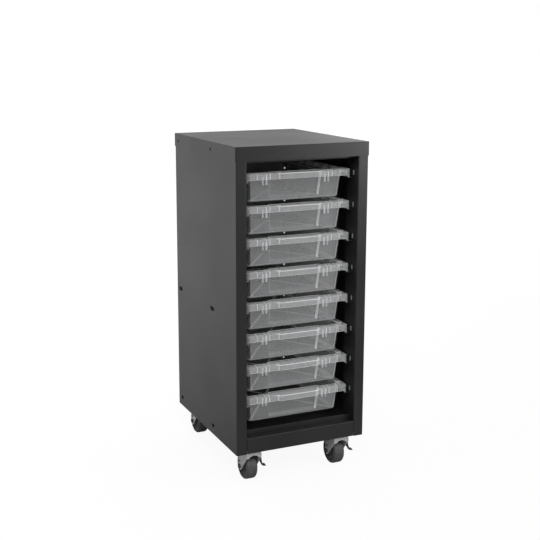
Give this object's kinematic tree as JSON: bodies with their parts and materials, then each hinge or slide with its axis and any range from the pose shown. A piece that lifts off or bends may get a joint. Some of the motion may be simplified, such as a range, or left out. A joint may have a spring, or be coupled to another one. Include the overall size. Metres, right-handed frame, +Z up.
{
  "type": "classroom tray storage unit",
  "caption": "Narrow powder-coated steel cabinet on swivel casters with an open front and translucent moulded trays that slide out on runners by their rims.",
  "frame": {"origin": "on the floor, under the middle of the whole unit's bounding box", "axes": "+Z up; the open front with the trays faces -Y; +X points to the right as the front is seen"},
  "size_m": [0.384, 0.4706, 0.914],
  "materials": {
    "powder_coat": "satin black powder coat with a fine texture",
    "tray_plastic": "translucent clear grey moulded plastic, glossy",
    "zinc_steel": "bright zinc-plated pressed steel",
    "tyre_rubber": "dark grey thermoplastic rubber tread, matt",
    "hub_plastic": "dark grey moulded hub"
  },
  "bodies": {
    "cabinet": {"top_cap": "powder_coat", "left_side_panel": "powder_coat", "right_side_panel": "powder_coat", "back_panel": "powder_coat", "front_rail": "powder_coat", "floor_pan": "powder_coat", "head_channel": "powder_coat", "front_caster_channel": "powder_coat", "rear_caster_channel": "powder_coat", "left_middle_upright": "powder_coat", "right_middle_upright": "powder_coat", "left_rear_upright": "powder_coat", "right_rear_upright": "powder_coat", "left_runner_1": "powder_coat", "right_runner_1": "powder_coat", "left_runner_2": "powder_coat", "right_runner_2": "powder_coat", "left_runner_3": "powder_coat", "right_runner_3": "powder_coat", "left_runner_4": "powder_coat", "right_runner_4": "powder_coat", "left_runner_5": "powder_coat", "right_runner_5": "powder_coat", "left_runner_6": "powder_coat", "right_runner_6": "powder_coat", "left_runner_7": "powder_coat", "right_runner_7": "powder_coat", "left_runner_8": "powder_coat", "right_runner_8": "powder_coat", "front_left_caster_plate": "zinc_steel", "front_right_caster_plate": "zinc_steel", "rear_left_caster_plate": "zinc_steel", "rear_right_caster_plate": "zinc_steel"},
    "tray_1": {"tray_1": "tray_plastic"},
    "tray_2": {"tray_2": "tray_plastic"},
    "tray_3": {"tray_3": "tray_plastic"},
    "tray_4": {"tray_4": "tray_plastic"},
    "tray_5": {"tray_5": "tray_plastic"},
    "tray_6": {"tray_6": "tray_plastic"},
    "tray_7": {"tray_7": "tray_plastic"},
    "tray_8": {"tray_8": "tray_plastic"},
    "front_left_caster": {"front_left_fork": "zinc_steel", "front_left_axle": "zinc_steel"},
    "front_left_wheel": {"front_left_tyre": "tyre_rubber", "front_left_hub": "hub_plastic"},
    "front_right_caster": {"front_right_fork": "zinc_steel", "front_right_axle": "zinc_steel"},
    "front_right_wheel": {"front_right_tyre": "tyre_rubber", "front_right_hub": "hub_plastic"},
    "rear_left_caster": {"rear_left_fork": "zinc_steel", "rear_left_axle": "zinc_steel"},
    "rear_left_wheel": {"rear_left_tyre": "tyre_rubber", "rear_left_hub": "hub_plastic"},
    "rear_right_caster": {"rear_right_fork": "zinc_steel", "rear_right_axle": "zinc_steel"},
    "rear_right_wheel": {"rear_right_tyre": "tyre_rubber", "rear_right_hub": "hub_plastic"},
    "front_left_brake": {"front_left_brake_pedal": "zinc_steel"},
    "front_right_brake": {"front_right_brake_pedal": "zinc_steel"}
  },
  "joints": [
    {"name": "tray_1_slide", "type": "slide", "parent": "cabinet", "child": "tray_1", "axis": [0, -1, 0], "range_m": [0, 0.33]},
    {"name": "tray_2_slide", "type": "slide", "parent": "cabinet", "child": "tray_2", "axis": [0, -1, 0], "range_m": [0, 0.33]},
    {"name": "tray_3_slide", "type": "slide", "parent": "cabinet", "child": "tray_3", "axis": [0, -1, 0], "range_m": [0, 0.33]},
    {"name": "tray_4_slide", "type": "slide", "parent": "cabinet", "child": "tray_4", "axis": [0, -1, 0], "range_m": [0, 0.33]},
    {"name": "tray_5_slide", "type": "slide", "parent": "cabinet", "child": "tray_5", "axis": [0, -1, 0], "range_m": [0, 0.33]},
    {"name": "tray_6_slide", "type": "slide", "parent": "cabinet", "child": "tray_6", "axis": [0, -1, 0], "range_m": [0, 0.33]},
    {"name": "tray_7_slide", "type": "slide", "parent": "cabinet", "child": "tray_7", "axis": [0, -1, 0], "range_m": [0, 0.33]},
    {"name": "tray_8_slide", "type": "slide", "parent": "cabinet", "child": "tray_8", "axis": [0, -1, 0], "range_m": [0, 0.33]},
    {"name": "front_left_swivel", "type": "hinge", "parent": "cabinet", "child": "front_left_caster", "pos_m": [-0.1334, -0.1914, 0.095], "axis": [0, 0, 1], "continuous": true},
    {"name": "front_left_wheel_spin", "type": "hinge", "parent": "front_left_caster", "child": "front_left_wheel", "pos_m": [-0.1334, -0.1714, 0.0375], "axis": [1, 0, 0], "continuous": true},
    {"name": "front_right_swivel", "type": "hinge", "parent": "cabinet", "child": "front_right_caster", "pos_m": [0.1334, -0.1914, 0.095], "axis": [0, 0, 1], "continuous": true},
    {"name": "front_right_wheel_spin", "type": "hinge", "parent": "front_right_caster", "child": "front_right_wheel", "pos_m": [0.1334, -0.1714, 0.0375], "axis": [1, 0, 0], "continuous": true},
    {"name": "rear_left_swivel", "type": "hinge", "parent": "cabinet", "child": "rear_left_caster", "pos_m": [-0.1334, 0.1778, 0.095], "axis": [0, 0, 1], "continuous": true},
    {"name": "rear_left_wheel_spin", "type": "hinge", "parent": "rear_left_caster", "child": "rear_left_wheel", "pos_m": [-0.1334, 0.1978, 0.0375], "axis": [1, 0, 0], "continuous": true},
    {"name": "rear_right_swivel", "type": "hinge", "parent": "cabinet", "child": "rear_right_caster", "pos_m": [0.1334, 0.1778, 0.095], "axis": [0, 0, 1], "continuous": true},
    {"name": "rear_right_wheel_spin", "type": "hinge", "parent": "rear_right_caster", "child": "rear_right_wheel", "pos_m": [0.1334, 0.1978, 0.0375], "axis": [1, 0, 0], "continuous": true},
    {"name": "front_left_brake_press", "type": "hinge", "parent": "front_left_caster", "child": "front_left_brake", "pos_m": [-0.1095, -0.2034, 0.063], "axis": [1, 0, 0], "range_deg": [0, 15]},
    {"name": "front_right_brake_press", "type": "hinge", "parent": "front_right_caster", "child": "front_right_brake", "pos_m": [0.1573, -0.2034, 0.063], "axis": [1, 0, 0], "range_deg": [0, 15]}
  ]
}
